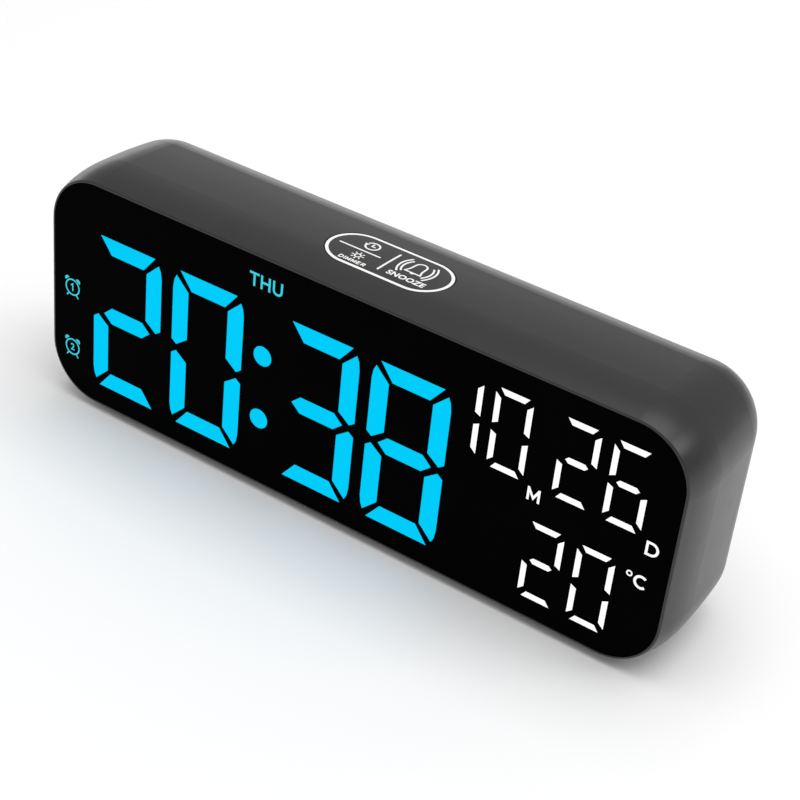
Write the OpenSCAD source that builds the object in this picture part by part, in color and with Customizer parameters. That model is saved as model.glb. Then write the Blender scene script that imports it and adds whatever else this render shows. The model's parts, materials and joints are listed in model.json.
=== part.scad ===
// Desk alarm clock with a wide LED display, a rocker key on top and five small keys at the back.
// The display faces -Y, +Z is up, and the origin is the middle of the footprint the feet stand on.

/* [Case] */
// Width of the case at its widest line
case_w = 165; // [160:1:175]
// Height of the case without its feet
case_h = 60.4; // [60:0.2:64]
// Depth of the case from the front face to the back
case_d = 38; // [38:0.5:42]
// Corner radius of the case seen from the front
corner_r = 14.5; // [14.2:0.1:15.5]
// Radius of the rounded back edge
back_edge_r = 13.2; // [12:0.2:13.4]
// Distance from the front face to the widest line
widest_y = 10.4; // [9:0.2:12]
// How much narrower the front edge is than the widest line, on each side
front_inset = 1.6; // [1.2:0.1:1.8]
// Radius of the gentle curve behind the widest line
side_curve_r = 180; // [160:5:240]
// Radius of the round on the front edge
front_edge_r = 0.4; // [0.2:0.1:0.5]
// Wall thickness of the case
wall_t = 2.3; // [2:0.1:2.6]
// Height of the feet below the lowest line of the case
foot_proud = 0.5; // [0.4:0.1:1]

/* [Display] */
// Width of the rim that shows around the display
rim_w = 0.6; // [0.5:0.1:1]
// Thickness of the printed front film
film_t = 0.3; // [0.2:0.1:0.4]
// Thickness of the clear plate behind the film
lens_t = 1.7; // [1.5:0.1:2]
// Depth of the light box behind the plate
light_box_d = 7; // [6:0.5:7.5]
// Width of a time digit
time_w = 19.7; // [18:0.1:20]
// Height of a time digit
time_h = 39.5; // [36:0.5:41]
// Width of a date digit
date_w = 8.7; // [8:0.1:9]
// Height of a date digit
date_h = 19; // [17:0.5:20]
// Time shown, as hours and minutes
shown_time = "2038"; // ["2038", "0700", "1234"]
// Radius of each colon dot
colon_r = 2.4; // [2:0.1:2.8]

/* [Keys] */
// Length of the rocker key on top
key_l = 30.5; // [28:0.1:32]
// Width of the rocker key on top
key_w = 14.2; // [13:0.1:14.8]
// Gap around the rocker key
key_gap = 0.15; // [0.15:0.05:0.3]
// Tilt of the rocker key each way, in degrees
key_tilt = 2; // [1:0.5:2]
// Diameter of each back key
button_d = 5; // [4:0.1:5.4]
// How far each back key stands out of the case
button_proud = 0.8; // [0.6:0.1:1]
// Travel of each back key
button_travel = 0.35; // [0.25:0.05:0.4]
// Distance between the back keys
button_pitch = 10; // [9:0.5:10.5]

/* [Back] */
// Width of the back cover
cover_w = 132; // [132:0.5:134]
// Height of the back cover
cover_h = 28.6; // [28.4:0.1:29]
// Thickness of the back cover
cover_t = 2; // [1.8:0.1:2.2]
// Length of the battery door
door_l = 53; // [53:0.1:54]
// Height of the battery door
door_h = 24.2; // [24:0.1:24.3]
// Diameter of an AAA cell
cell_d = 10.5; // [10.5:0.1:10.6]
// Length of the bay for a cell with its contacts
bay_l = 50.6; // [50:0.2:50.8]
// Diameter of each foot
foot_d = 9; // [7:0.5:10]

/* [Hidden] */

fine = 96;
eps = 0.01;
far = 200;

// The case's own frame: x across, y back from the front face, z up from mid height
front_y = -(case_d + button_proud) / 2;
mid_z = foot_proud + case_h / 2;
corner_x = case_w / 2 - corner_r;
corner_z = case_h / 2 - corner_r;
front_curve_r = (widest_y ^ 2 + front_inset ^ 2) / (2 * front_inset);

// Centre of the small front round and of the large back round, measured from a corner's own axis
front_round_u = corner_r - front_curve_r
    + sqrt((front_curve_r - front_edge_r) ^ 2 - (widest_y - front_edge_r) ^ 2);
front_round_end = front_edge_r * (1 - (widest_y - front_edge_r) / (front_curve_r - front_edge_r));
back_round_y = case_d - back_edge_r;
back_round_u = corner_r - side_curve_r
    + sqrt((side_curve_r - back_edge_r) ^ 2 - (back_round_y - widest_y) ^ 2);
back_round_slope = (back_round_y - widest_y) / (side_curve_r - back_edge_r);

// Display opening
panel_w = case_w - 2 * (front_inset + rim_w);
panel_h = case_h - 2 * (front_inset + rim_w);
panel_r = corner_r - front_inset - rim_w;
panel_gap = 0.1;
film_sink = 0.05;
film_back = film_sink + film_t;
seat_y = film_back + lens_t;
seat_w = 0.9;
cavity_w = panel_w - 2 * seat_w;
cavity_h = panel_h - 2 * seat_w;
cavity_r = panel_r - seat_w;

// Light box and LED board
box_w = 156;
box_top = 24.9;
box_bottom = -25;
box_r = 8;
board_t = 1.2;
board_y = seat_y + light_box_d;
display_screw_x = 74.5;
display_screw_z = 22;
display_head_r = 1.6;
head_recess = 4;
thin_screw_r = 0.85;
screw_clear = 0.15;
board_head_r = 1.7;
screw_head_t = 1.2;
screw_bite = 4.5;
post_r = 2.6;

// Digits: centres measured from the middle of the display
time_x = [-58.6, -35.6, -5, 17.8];
time_z = -3.2;
colon_x = -20.2;
colon_z = [4.6, -11.5];
date_x = [30, 41.5, 56.9, 68.4];
date_z = 13.1;
warmth_x = [52.9, 64.6];
warmth_z = -14;
shown_date = "1026";
shown_warmth = "20";
icon_x = -75;
icon_z = [-0.3, -16.3];
SEGMENTS = "abcdefg";

// Rocker key
key_x = 0.3;
key_y = 14.55;
key_t = 1.6;
key_sink = 0.05;
pivot_z = 26.8;
pivot_r = 0.75;
pivot_fit = 0.04;
lug_r = 1.65;
ear_t = 2;
ear_front_y = 4.8;
ear_back_y = 22.2;
key_foot_x = 7.5;
key_board_top = 20.2;
key_board_t = 1.2;
key_board_w = 46;
key_board_d = 9;
key_board_y = 17;
key_post_x = 19;
switch_w = 6;
switch_h = 3.5;
plunger_r = 1.7;
plunger_h = 0.8;
switch_rest_gap = 0.05;

// Back cover
cover_r = 3;
cover_gap = 0.15;
cover_y = case_d - cover_t;
mouth_w = 119;
mouth_h = 25.2;
cover_screw_x = 62.7;
cover_screw_z = 9;
cover_head_r = 2;
cover_boss_l = 7;
frame_t = 2;

// Back keys and the board behind them
button_x0 = 8;
button_z = 5;
button_gap = 0.2;
flange_t = 0.9;
flange_w = 0.8;
stem_l = 1;
flange_y = cover_y - 0.1;
stem_end_y = flange_y - flange_t - stem_l;
main_y = stem_end_y - switch_rest_gap - button_travel - plunger_h - switch_h;
main_t = 1.6;
main_x = 28;
main_w = 62;
main_h = 24;
main_screw_x = 28.5;
main_screw_z = 9.6;
usb_x = 52;
usb_z = -5;
usb_w = 8.94;
usb_h = 3.26;
usb_proud = 8.2;
usb_wall = 0.3;
usb_floor = 1.5;
buzzer_x = 18;
buzzer_z = -5;
buzzer_r = 6;
sensor_x = 37;
sensor_z = -5.5;

// Battery bay
bay_x = -31.5;
bay_h = 2 * cell_d + 0.8;
bay_d = 11.6;
cell_z = cell_d / 2 + 0.1;
tray_t = 1.2;
door_t = 1.3;
door_gap = 0.15;
plate_t = 0.3;
tab_l = 1.6;
lead_z = 6;
spring_turns = 3;
spring_steps = 18;
spring_sides = 8;
spring_wire_r = 0.3;
spring_rise = 2.2;
spring_base_r = 3.4;
spring_tip_r = 2;

foot_x = 66;
foot_front_y = 8;
foot_back_y = 25;
foot_pocket = 1.2;

// ---- shared shapes ----

module in_case() {
    translate([0, front_y, mid_z])
        children();
}

// Extrudes a shape drawn in x and z from depth y0 to depth y1
module from_to(y0, y1) {
    translate([0, y1, 0])
        rotate([90, 0, 0])
            linear_extrude(y1 - y0)
                children();
}

module rounded_plate(w, h, r) {
    square([w - 2 * r, h], center = true);
    square([w, h - 2 * r], center = true);
    for (sx = [-1, 1], sz = [-1, 1])
        translate([sx * (w / 2 - r), sz * (h / 2 - r)])
            circle(r, $fn = fine);
}

module stadium(l, w) {
    square([l - w, w], center = true);
    for (sx = [-1, 1])
        translate([sx * (l - w) / 2, 0])
            circle(w / 2, $fn = fine);
}

// Section of the case's wall outline, u out from a corner's axis and v back from the front face
module edge_section(inset) {
    reach = corner_r - inset;
    back_end = back_round_y + (back_edge_r - inset) * back_round_slope;
    front_start = inset == 0 ? front_round_end : 0;
    intersection() {
        translate([0, front_start])
            square([reach, widest_y - front_start]);
        translate([corner_r - front_curve_r, widest_y])
            circle(front_curve_r - inset, $fn = 4 * fine);
    }
    if (inset == 0) {
        square([front_round_u, front_round_end + eps]);
        intersection() {
            translate([front_round_u, front_edge_r])
                circle(front_edge_r, $fn = fine);
            square([reach, front_round_end + eps]);
        }
    }
    intersection() {
        translate([0, widest_y])
            square([reach, back_end - widest_y]);
        translate([corner_r - side_curve_r, widest_y])
            circle(side_curve_r - inset, $fn = 16 * fine);
    }
    intersection() {
        translate([0, back_end - eps])
            square([reach, case_d - inset - back_end + eps]);
        union() {
            translate([back_round_u, back_round_y])
                circle(back_edge_r - inset, $fn = 2 * fine);
            square([back_round_u, case_d - inset]);
        }
    }
}

// The whole case as a closed form, drawn in from its surface by inset
module case_form(inset) {
    translate([-corner_x, 0, -corner_z])
        cube([2 * corner_x, case_d - inset, 2 * corner_z]);
    for (side = [0, 1]) {
        mirror([side, 0, 0])
            translate([corner_x, 0, -corner_z])
                linear_extrude(2 * corner_z)
                    edge_section(inset);
        mirror([0, 0, side])
            translate([corner_x, 0, corner_z])
                rotate([0, -90, 0])
                    linear_extrude(2 * corner_x)
                        edge_section(inset);
    }
    for (sx = [0, 1], sz = [0, 1])
        mirror([sx, 0, 0])
            mirror([0, 0, sz])
                translate([corner_x, 0, -corner_z])
                    rotate([-90, 0, 0])
                        rotate_extrude(angle = 90, $fn = 2 * fine)
                            edge_section(inset);
}

module screw(r, l, head_r, head_t) {
    cylinder(r = r, h = l, $fn = 24);
    translate([0, 0, l])
        difference() {
            cylinder(r = head_r, h = head_t, $fn = 48);
            for (turn = [0, 90])
                translate([0, 0, head_t])
                    rotate(turn)
                        cube([head_r * 1.2, head_r * 0.28, head_t], center = true);
        }
}

// A push switch whose body stands on z = 0 with its plunger on top
module push_switch() {
    translate([-switch_w / 2, -switch_w / 2, 0])
        cube([switch_w, switch_w, switch_h]);
    translate([0, 0, switch_h - eps])
        cylinder(r = plunger_r, h = plunger_h + eps, $fn = 48);
}

// ---- display drawing ----

// One digit style: width, height, bar and post thickness, then how far in the ends of the top bar
// and of the middle bar lie, and the corners of the upper left post, to the right from the digit's
// left edge: those of its top end, down from the digit's top, and of its other end, up from the middle
time_style = [time_w, time_h, 4.1, 4.35, [1.95, 5.2], [3.1, 5.4],
    [[0, 4.75], [0.3, 2.7], [0.9, 1.45], [4.35, 4.75]], [[4.35, 3.05], [1.35, 0.8], [0, 1.8]]];
date_style = [date_w, date_h, 1.4, 1.3, [1, 2.05], [1.75, 2.5],
    [[0, 1.3], [1.3, 2.45]], [[1.3, 1.5], [0, 0.85]]];

// Top bar of a digit, a trapezium with its long side outside
module bar_segment(s) {
    w = s[0] / 2;
    h = s[1] / 2;
    ends = s[4];
    polygon([[-w + ends[0], h], [w - ends[0], h], [w - ends[1], h - s[2]], [-w + ends[1], h - s[2]]]);
}

// Upper left post of a digit
module post_segment(s) {
    w = s[0] / 2;
    h = s[1] / 2;
    polygon([
        for (p = s[6]) [-w + p[0], h - p[1]],
        for (p = s[7]) [-w + p[0], p[1]]
    ]);
}

module middle_segment(s) {
    w = s[0] / 2;
    t = s[2] / 2;
    ends = s[5];
    polygon([[-w + ends[0], 0], [-w + ends[1], t], [w - ends[1], t], [w - ends[0], 0], [w - ends[1], -t],
        [-w + ends[1], -t]]);
}

module segment(s, name) {
    if (name == "a") bar_segment(s);
    if (name == "d") mirror([0, 1]) bar_segment(s);
    if (name == "f") post_segment(s);
    if (name == "e") mirror([0, 1]) post_segment(s);
    if (name == "b") mirror([1, 0]) post_segment(s);
    if (name == "c") mirror([1, 0]) mirror([0, 1]) post_segment(s);
    if (name == "g") middle_segment(s);
}

function lit_segments(digit) =
    digit == "0" ? "abcdef" : digit == "1" ? "bc" : digit == "2" ? "abdeg" :
    digit == "3" ? "abcdg" : digit == "4" ? "bcfg" : digit == "5" ? "acdfg" :
    digit == "6" ? "acdefg" : digit == "7" ? "abc" : digit == "8" ? "abcdefg" : "abcdfg";

function has(text, letter) = len([for (c = text) if (c == letter) c]) > 0;

// Segments of one digit: those it lights, those it leaves dark, or all of them
module digit(s, shown, pick, cells = SEGMENTS) {
    for (name = cells) {
        is_lit = has(lit_segments(shown), name);
        if (pick == "all" || (pick == "lit") == is_lit)
            segment(s, name);
    }
}

module time_drawing(pick) {
    for (i = [0 : 3])
        translate([time_x[i], time_z])
            digit(time_style, shown_time[i], pick);
    if (pick != "dark")
        for (z = colon_z)
            translate([colon_x, z])
                circle(colon_r, $fn = 48);
}

module date_drawing(pick) {
    for (i = [0 : 3])
        translate([date_x[i], date_z])
            digit(date_style, shown_date[i], pick, i == 0 ? "bc" : SEGMENTS);
    for (i = [0 : 1])
        translate([warmth_x[i], warmth_z])
            digit(date_style, shown_warmth[i], pick);
}

// ---- case ----

module housing() color([0.2, 0.2, 0.21]) in_case() {
    difference() {
        union() {
            difference() {
                case_form(0);
                from_to(-1, seat_y)
                    rounded_plate(panel_w + 2 * panel_gap, panel_h + 2 * panel_gap, panel_r);
                intersection() {
                    case_form(wall_t);
                    from_to(seat_y - eps, case_d)
                        rounded_plate(cavity_w, cavity_h, cavity_r);
                }
            }
            case_fittings();
        }
        back_openings();
        key_opening();
        foot_pockets();
    }
}

// Posts, ears, bosses and the frame for the back cover, trimmed to the inside of the case
module case_fittings() {
    intersection() {
        case_form(wall_t / 2);
        union() {
            for (sx = [-1, 1], sz = [-1, 1])
                translate([sx * display_screw_x, board_y + board_t, sz * display_screw_z])
                    rotate([-90, 0, 0])
                        difference() {
                            cylinder(r = post_r, h = case_d, $fn = 48);
                            translate([0, 0, -eps])
                                cylinder(r = thin_screw_r, h = 9, $fn = 24);
                        }
            for (sx = [-1, 1], sz = [-1, 1])
                translate([sx * cover_screw_x, cover_y - cover_boss_l, sz * cover_screw_z])
                    rotate([-90, 0, 0])
                        cylinder(r = post_r, h = cover_boss_l, $fn = 48);
            from_to(cover_y - frame_t, cover_y)
                rounded_plate(cover_w + 4, cover_h + 3.4, cover_r + 1);
            for (y = [ear_front_y, ear_back_y])
                translate([key_x, y, pivot_z])
                    key_ear();
            for (sx = [-1, 1])
                translate([key_x + sx * key_post_x, key_board_y, key_board_top])
                    difference() {
                        cylinder(r = post_r, h = case_h, $fn = 48);
                        translate([0, 0, -eps])
                            cylinder(r = thin_screw_r, h = 6, $fn = 24);
                    }
        }
    }
}

// One of the two ears that hold the rocker key's pin
module key_ear() {
    difference() {
        union() {
            rotate([-90, 0, 0])
                cylinder(r = lug_r, h = ear_t, $fn = 48);
            translate([-lug_r, 0, 0])
                cube([2 * lug_r, ear_t, 3]);
        }
        translate([0, -eps, 0])
            rotate([-90, 0, 0])
                cylinder(r = pivot_r, h = ear_t + 2 * eps, $fn = 48);
    }
}

module back_openings() {
    from_to(cover_y, case_d + 1)
        rounded_plate(cover_w + 2 * cover_gap, cover_h + 2 * cover_gap, cover_r);
    from_to(cover_y - 2 * frame_t, case_d)
        rounded_plate(mouth_w, mouth_h, 1);
    for (sx = [-1, 1], sz = [-1, 1])
        translate([sx * cover_screw_x, cover_y - cover_boss_l + 1, sz * cover_screw_z])
            rotate([-90, 0, 0])
                cylinder(r = thin_screw_r, h = cover_boss_l, $fn = 24);
}

module key_outline(grow) {
    translate([key_x, key_y])
        stadium(key_l + 2 * grow, key_w + 2 * grow);
}

module key_opening() {
    translate([0, 0, box_top])
        linear_extrude(case_h)
            key_outline(key_gap);
}

function drop_at(y) = y < widest_y
    ? front_curve_r - sqrt(front_curve_r ^ 2 - (widest_y - y) ^ 2)
    : side_curve_r - sqrt(side_curve_r ^ 2 - (y - widest_y) ^ 2);

function foot_top(y) = -case_h / 2 + drop_at(y) + foot_pocket;

module foot_pockets() {
    for (sx = [-1, 1], y = [foot_front_y, foot_back_y])
        translate([sx * foot_x, y, foot_top(y) - far])
            cylinder(d = foot_d + 0.2, h = far, $fn = 48);
}

module rubber_feet() color([0.09, 0.09, 0.09]) in_case() {
    for (sx = [-1, 1], y = [foot_front_y, foot_back_y])
        translate([sx * foot_x, y, -mid_z])
            cylinder(d = foot_d, h = foot_top(y) + mid_z, $fn = 48);
}

// ---- display parts ----

module front_film() color([0.01, 0.01, 0.012]) in_case() {
    difference() {
        from_to(film_sink, film_back)
            rounded_plate(panel_w, panel_h, panel_r);
        from_to(0, film_back + eps) {
            time_drawing("all");
            date_drawing("all");
        }
    }
}

module time_windows() color([0.02, 0.8, 0.98]) in_case() {
    from_to(film_sink, film_back)
        time_drawing("lit");
}

module date_windows() color([1, 1, 1]) in_case() {
    from_to(film_sink, film_back)
        date_drawing("lit");
}

module dark_windows() color([0.02, 0.02, 0.022]) in_case() {
    from_to(film_sink, film_back) {
        time_drawing("dark");
        date_drawing("dark");
    }
}

module lens_plate() color([0.75, 0.8, 0.82]) in_case() {
    from_to(film_back, seat_y)
        rounded_plate(panel_w, panel_h, panel_r);
}

module box_outline() {
    translate([0, (box_top + box_bottom) / 2])
        rounded_plate(box_w, box_top - box_bottom, box_r);
}

module light_box() color([0.93, 0.93, 0.91]) in_case() {
    difference() {
        from_to(seat_y, board_y)
            box_outline();
        from_to(seat_y - eps, board_y + eps) {
            time_drawing("all");
            date_drawing("all");
            for (z = icon_z)
                translate([icon_x, z])
                    circle(2.4, $fn = 32);
        }
        for (sx = [-1, 1], sz = [-1, 1])
            translate([sx * display_screw_x, seat_y, sz * display_screw_z])
                rotate([-90, 0, 0]) {
                    translate([0, 0, -eps])
                        cylinder(r = thin_screw_r + screw_clear, h = light_box_d + 1, $fn = 24);
                    translate([0, 0, -eps])
                        cylinder(r = display_head_r + 0.2, h = head_recess + eps, $fn = 32);
                }
    }
}

module led_board() color([0.05, 0.3, 0.15]) in_case() {
    difference() {
        from_to(board_y, board_y + board_t)
            box_outline();
        for (sx = [-1, 1], sz = [-1, 1])
            translate([sx * display_screw_x, board_y - eps, sz * display_screw_z])
                rotate([-90, 0, 0])
                    cylinder(r = thin_screw_r + screw_clear, h = 2, $fn = 24);
    }
}

// One LED chip in the middle of each cell of a digit
module digit_leds(s) {
    w = s[0] / 2 - s[3] / 2;
    h = s[1] / 2 - s[2] / 2;
    for (p = [[0, h], [0, 0], [0, -h], [-w, h / 2], [w, h / 2], [-w, -h / 2], [w, -h / 2]])
        translate(p)
            square([1.2, 1], center = true);
}

module display_leds() color([0.98, 0.95, 0.8]) in_case() {
    from_to(board_y - 0.8, board_y) {
        for (x = time_x)
            translate([x, time_z])
                digit_leds(time_style);
        for (x = [date_x[1], date_x[2], date_x[3]])
            translate([x, date_z])
                digit_leds(date_style);
        for (x = warmth_x)
            translate([x, warmth_z])
                digit_leds(date_style);
        for (sz = [-1, 1])
            translate([date_x[0] + (date_w - date_style[3]) / 2, date_z + sz * date_h / 4])
                square([1.2, 1], center = true);
        for (z = colon_z)
            translate([colon_x, z])
                square([1.2, 1], center = true);
        for (z = icon_z)
            translate([icon_x, z])
                square([1.2, 1], center = true);
    }
}

module display_screws() color([0.75, 0.75, 0.77]) in_case() {
    shank = light_box_d - head_recess + board_t + 7;
    for (sx = [-1, 1], sz = [-1, 1])
        translate([sx * display_screw_x, seat_y + head_recess + shank, sz * display_screw_z])
            rotate([90, 0, 0])
                screw(thin_screw_r, shank, display_head_r, screw_head_t);
}

// ---- rocker key ----

module snooze_key() color([0.2, 0.2, 0.21]) in_case() {
    foot_end = key_board_top + switch_h + plunger_h + switch_rest_gap + key_foot_x * sin(key_tilt);
    difference() {
        union() {
            difference() {
                intersection() {
                    case_form(key_sink);
                    translate([0, 0, pivot_z])
                        linear_extrude(case_h)
                            key_outline(0);
                }
                case_form(key_t);
            }
            translate([key_x, ear_front_y + ear_t + 1.5, pivot_z])
                rotate([-90, 0, 0])
                    cylinder(r = lug_r, h = ear_back_y - ear_front_y - ear_t - 3, $fn = 48);
            translate([key_x - 1.2, ear_front_y + ear_t + 1.5, pivot_z])
                cube([2.4, ear_back_y - ear_front_y - ear_t - 3, case_h / 2 - key_t / 2 - pivot_z]);
            for (sx = [-1, 1])
                translate([key_x + sx * key_foot_x, key_board_y, foot_end])
                    cylinder(r = 1.5, h = case_h / 2 - key_t / 2 - foot_end, $fn = 48);
        }
        translate([key_x, ear_front_y, pivot_z])
            rotate([-90, 0, 0])
                cylinder(r = pivot_r + pivot_fit, h = ear_back_y, $fn = 48);
    }
}

module key_pin() color([0.78, 0.78, 0.8]) in_case() {
    translate([key_x, ear_front_y, pivot_z])
        rotate([-90, 0, 0])
            cylinder(r = pivot_r, h = ear_back_y + ear_t - ear_front_y, $fn = 48);
}

module key_board() color([0.05, 0.3, 0.15]) in_case() {
    translate([key_x, key_board_y, key_board_top - key_board_t])
        difference() {
            translate([-key_board_w / 2, -key_board_d / 2, 0])
                cube([key_board_w, key_board_d, key_board_t]);
            for (sx = [-1, 1])
                translate([sx * key_post_x, 0, -eps])
                    cylinder(r = thin_screw_r + screw_clear, h = 2, $fn = 24);
        }
}

module key_switches() color([0.12, 0.12, 0.13]) in_case() {
    for (sx = [-1, 1])
        translate([key_x + sx * key_foot_x, key_board_y, key_board_top])
            push_switch();
}

module key_board_screws() color([0.75, 0.75, 0.77]) in_case() {
    for (sx = [-1, 1])
        translate([key_x + sx * key_post_x, key_board_y, key_board_top + screw_bite])
            rotate([180, 0, 0])
                screw(thin_screw_r, screw_bite + key_board_t, board_head_r, screw_head_t);
}

// ---- back cover and its keys ----

module rear_cover() color([0.16, 0.16, 0.17]) in_case() {
    difference() {
        union() {
            from_to(cover_y, case_d)
                rounded_plate(cover_w, cover_h, cover_r);
            for (sx = [-1, 1], sz = [-1, 1])
                translate([main_x + sx * main_screw_x, cover_y + eps, sz * main_screw_z])
                    rotate([90, 0, 0])
                        cylinder(r = 2.2, h = cover_y - main_y + eps, $fn = 48);
        }
        cover_holes();
    }
}

module cover_holes() {
    for (sx = [-1, 1], sz = [-1, 1]) {
        translate([sx * cover_screw_x, cover_y - eps, sz * cover_screw_z])
            rotate([-90, 0, 0])
                cylinder(r = thin_screw_r + screw_clear, h = cover_t + 1, $fn = 24);
        translate([sx * cover_screw_x, case_d - 1.1, sz * cover_screw_z])
            rotate([-90, 0, 0])
                cylinder(r = cover_head_r + 0.2, h = 2, $fn = 48);
        translate([main_x + sx * main_screw_x, main_y - eps, sz * main_screw_z])
            rotate([-90, 0, 0])
                cylinder(r = thin_screw_r, h = cover_y - main_y, $fn = 24);
    }
    for (i = [0 : 4])
        translate([button_x0 + i * button_pitch, cover_y - eps, button_z])
            rotate([-90, 0, 0])
                cylinder(r = button_d / 2 + button_gap, h = cover_t + 1, $fn = 64);
    from_to(cover_y - eps, case_d + 1) {
        translate([usb_x, usb_z])
            stadium(usb_w + 0.6, usb_h + 0.6);
        for (i = [-3 : 3])
            translate([buzzer_x + i * 2, buzzer_z])
                rotate(90)
                    stadium(7 - abs(i), 0.9);
        for (i = [-1 : 1])
            translate([sensor_x + i * 2, sensor_z])
                rotate(90)
                    stadium(5, 0.9);
    }
    translate([bay_x, 0, 0]) {
        from_to(case_d - door_t, case_d + 1)
            rounded_plate(door_l + 2 * door_gap, door_h + 2 * door_gap, 1.5);
        from_to(cover_y - eps, case_d)
            rounded_plate(bay_l, bay_h, 0.8);
    }
}

module cover_screws() color([0.2, 0.2, 0.21]) in_case() {
    shank = cover_boss_l - 2;
    for (sx = [-1, 1], sz = [-1, 1])
        translate([sx * cover_screw_x, case_d - 1.1 - shank, sz * cover_screw_z])
            rotate([-90, 0, 0])
                screw(thin_screw_r, shank, cover_head_r, 0.9);
}

// One back key: a round cap, a flange that keeps it in and a stem that reaches its switch
module back_key(place) {
    translate([button_x0 + place * button_pitch, 0, button_z])
        rotate([-90, 0, 0]) {
            translate([0, 0, stem_end_y])
                cylinder(r = 1.4, h = stem_l + eps, $fn = 48);
            translate([0, 0, flange_y - flange_t])
                cylinder(r = button_d / 2 + flange_w, h = flange_t, $fn = 64);
            translate([0, 0, flange_y - eps])
                cylinder(d = button_d, h = case_d + button_proud - 0.4 - flange_y + eps, $fn = 64);
            translate([0, 0, case_d + button_proud - 0.4])
                cylinder(r1 = button_d / 2, r2 = button_d / 2 - 0.3, h = 0.4, $fn = 64);
        }
}

module set_button() color([0.24, 0.24, 0.25]) in_case() back_key(0);
module alarm_button() color([0.24, 0.24, 0.25]) in_case() back_key(1);
module up_button() color([0.24, 0.24, 0.25]) in_case() back_key(2);
module down_button() color([0.24, 0.24, 0.25]) in_case() back_key(3);
module unit_button() color([0.24, 0.24, 0.25]) in_case() back_key(4);

module rear_switches() color([0.12, 0.12, 0.13]) in_case() {
    for (i = [0 : 4])
        translate([button_x0 + i * button_pitch, main_y, button_z])
            rotate([-90, 0, 0])
                push_switch();
}

// ---- boards and what they carry ----

module main_board() color([0.05, 0.3, 0.15]) in_case() {
    difference() {
        translate([main_x, 0, 0])
            from_to(main_y - main_t, main_y)
                rounded_plate(main_w, main_h, 1);
        for (sx = [-1, 1], sz = [-1, 1])
            translate([main_x + sx * main_screw_x, main_y - main_t - eps, sz * main_screw_z])
                rotate([-90, 0, 0])
                    cylinder(r = thin_screw_r + screw_clear, h = 3, $fn = 24);
    }
}

module board_screws() color([0.75, 0.75, 0.77]) in_case() {
    for (sx = [-1, 1], sz = [-1, 1])
        translate([main_x + sx * main_screw_x, main_y + screw_bite, sz * main_screw_z])
            rotate([90, 0, 0])
                screw(thin_screw_r, screw_bite + main_t, board_head_r, screw_head_t);
}

module controller_chip() color([0.07, 0.07, 0.08]) in_case() {
    left = 20;
    low = -5;
    chip = [18, 2.2, 7.5];
    pin = [0.4, 0.4, 1.2];
    pin_pitch = 1.27;
    translate([left, main_y - main_t - chip[1], low])
        cube(chip);
    for (i = [0 : 13], z = [low - pin[2], low + chip[2]])
        translate([left + 0.6 + i * pin_pitch, main_y - main_t - pin[1], z])
            cube(pin);
}

module capacitors() color([0.3, 0.32, 0.36]) in_case() {
    can_d = 6.3;
    can_l = 7.5;
    for (x = [45, 53])
        translate([x, main_y - main_t, 2])
            rotate([90, 0, 0])
                cylinder(d = can_d, h = can_l, $fn = 64);
}

module crystal() color([0.78, 0.78, 0.8]) in_case() {
    can_d = 2;
    can_l = 6;
    translate([46, main_y - main_t - can_d, -5.5])
        rotate([0, 90, 0])
            cylinder(d = can_d, h = can_l, $fn = 32);
}

// Upright socket shell; its open end faces the back
module usb_socket() color([0.75, 0.75, 0.78]) in_case() {
    translate([usb_x, 0, usb_z])
        difference() {
            from_to(main_y, main_y + usb_proud)
                stadium(usb_w, usb_h);
            from_to(main_y + usb_floor, main_y + usb_proud + eps)
                stadium(usb_w - 2 * usb_wall, usb_h - 2 * usb_wall);
        }
}

module usb_tongue() color([0.1, 0.1, 0.1]) in_case() {
    translate([usb_x, 0, usb_z])
        from_to(main_y + usb_floor, main_y + usb_proud - 0.8)
            square([6.69, 0.7], center = true);
}

module buzzer() color([0.06, 0.06, 0.06]) in_case() {
    height = 5.4;
    sound_hole_r = 1;
    sound_hole_depth = 1.4;
    translate([buzzer_x, main_y, buzzer_z])
        rotate([-90, 0, 0])
            difference() {
                cylinder(r = buzzer_r, h = height, $fn = 96);
                translate([0, 0, height - sound_hole_depth])
                    cylinder(r = sound_hole_r, h = sound_hole_depth + eps, $fn = 32);
            }
}

module temperature_sensor() color([0.1, 0.1, 0.12]) in_case() {
    bead_r = 1.2;
    leg_r = 0.25;
    leg_l = 4.6;
    translate([sensor_x, main_y + leg_l, sensor_z])
        sphere(r = bead_r, $fn = 48);
    for (sx = [-1, 1])
        translate([sensor_x + sx * bead_r / 2, main_y, sensor_z])
            rotate([-90, 0, 0])
                cylinder(r = leg_r, h = leg_l, $fn = 24);
}

// Quarter ring of a flat strip, thickness t, inside the corner from +x to +y
module strip_bend(r, t) {
    intersection() {
        difference() {
            circle(r + t / 2, $fn = fine);
            circle(r - t / 2, $fn = fine);
        }
        square(2 * r);
    }
}

// Flat cable from the LED board to the main board, with one easy double bend
module ribbon_cable() color([0.82, 0.82, 0.8]) in_case() {
    t = 0.6;
    r = 3;
    start_x = -6;
    end_x = 11;
    start_y = board_y + board_t;
    end_y = main_y - main_t;
    turn_y = (start_y + end_y) / 2;
    translate([0, 0, -2])
        linear_extrude(8) {
            translate([start_x - t / 2, start_y])
                square([t, turn_y - r - start_y]);
            translate([start_x + r, turn_y - r])
                mirror([1, 0])
                    strip_bend(r, t);
            translate([start_x + r, turn_y - t / 2])
                square([end_x - start_x - 2 * r, t]);
            translate([end_x - r, turn_y + r])
                mirror([0, 1])
                    strip_bend(r, t);
            translate([end_x - t / 2, turn_y + r])
                square([t, end_y - turn_y - r]);
        }
}

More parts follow.
